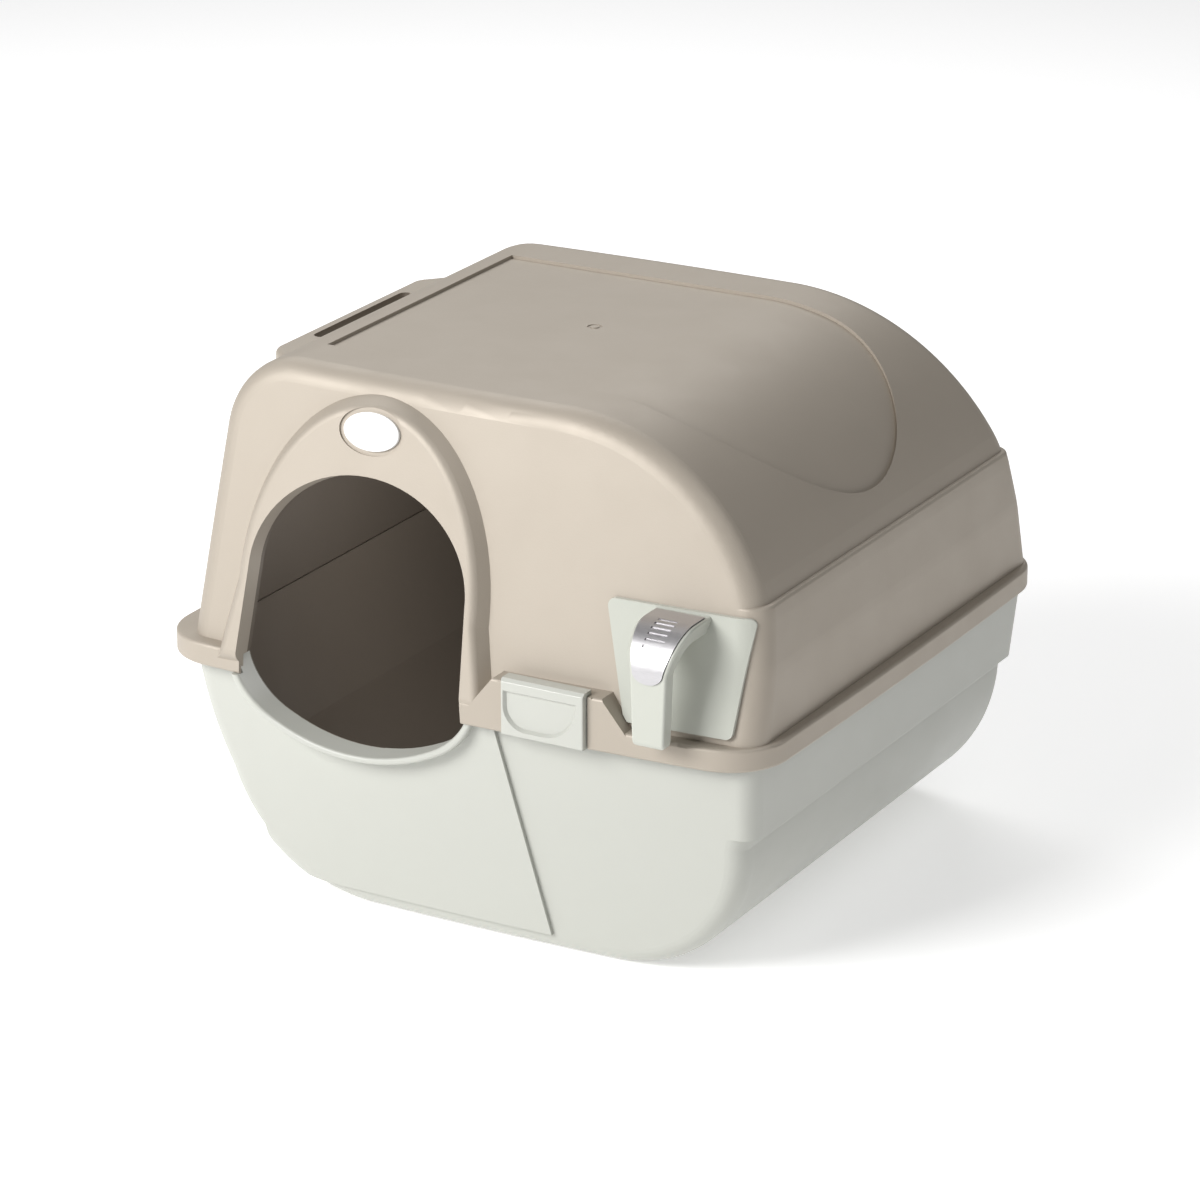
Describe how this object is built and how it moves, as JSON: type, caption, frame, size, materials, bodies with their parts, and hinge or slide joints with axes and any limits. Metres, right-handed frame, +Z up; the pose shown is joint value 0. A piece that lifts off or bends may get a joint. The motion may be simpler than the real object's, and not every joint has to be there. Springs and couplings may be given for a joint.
{
  "type": "roll-to-clean litter box",
  "caption": "Covered litter box that is rolled on its side to sift, with an arched entry, a slotted screen, a pull-out waste tray and clips that hold the hood to the base.",
  "frame": {"origin": "middle of the flat rest face under the base", "axes": "+X along the front towards the waste tray, +Y to the rear, +Z up; the entry faces -Y"},
  "size_m": [0.495, 0.503, 0.394],
  "materials": {
    "hood_plastic": "fine satin grain, warm grey",
    "base_plastic": "satin, pale greenish white",
    "clip_plastic": "smooth, pale greenish white",
    "tray_plastic": "smooth, pale greenish white",
    "screen_plastic": "satin, warm grey",
    "grip_metal": "satin silver",
    "badge_face": "gloss white, bare"
  },
  "bodies": {
    "base": {"base": "base_plastic"},
    "hood": {"hood": "hood_plastic", "sifting_screen": "screen_plastic", "badge": "badge_face"},
    "tray": {"waste_tray": "tray_plastic", "tray_handle": "tray_plastic", "handle_grip": "grip_metal"},
    "front_clip": {"front_clip": "clip_plastic"},
    "rear_clip": {"rear_clip": "clip_plastic"}
  },
  "joints": [
    {"name": "hood_lift", "type": "slide", "parent": "base", "child": "hood", "axis": [0, 0, 1], "range_m": [0, 0.06]},
    {"name": "tray_slide", "type": "slide", "parent": "hood", "child": "tray", "axis": [0, -1, 0], "range_m": [0, 0.38]},
    {"name": "front_clip_hinge", "type": "hinge", "parent": "base", "child": "front_clip", "pos_m": [0.083, -0.2359, 0.1788], "axis": [1, 0, 0], "range_deg": [0, 100]},
    {"name": "rear_clip_hinge", "type": "hinge", "parent": "base", "child": "rear_clip", "pos_m": [0.083, 0.2359, 0.1788], "axis": [-1, 0, 0], "range_deg": [0, 100]}
  ],
  "couplings": [
    {"joint": "front_clip_hinge", "follows": "hood_lift", "rad_per_m": 29},
    {"joint": "rear_clip_hinge", "follows": "hood_lift", "rad_per_m": 29}
  ]
}
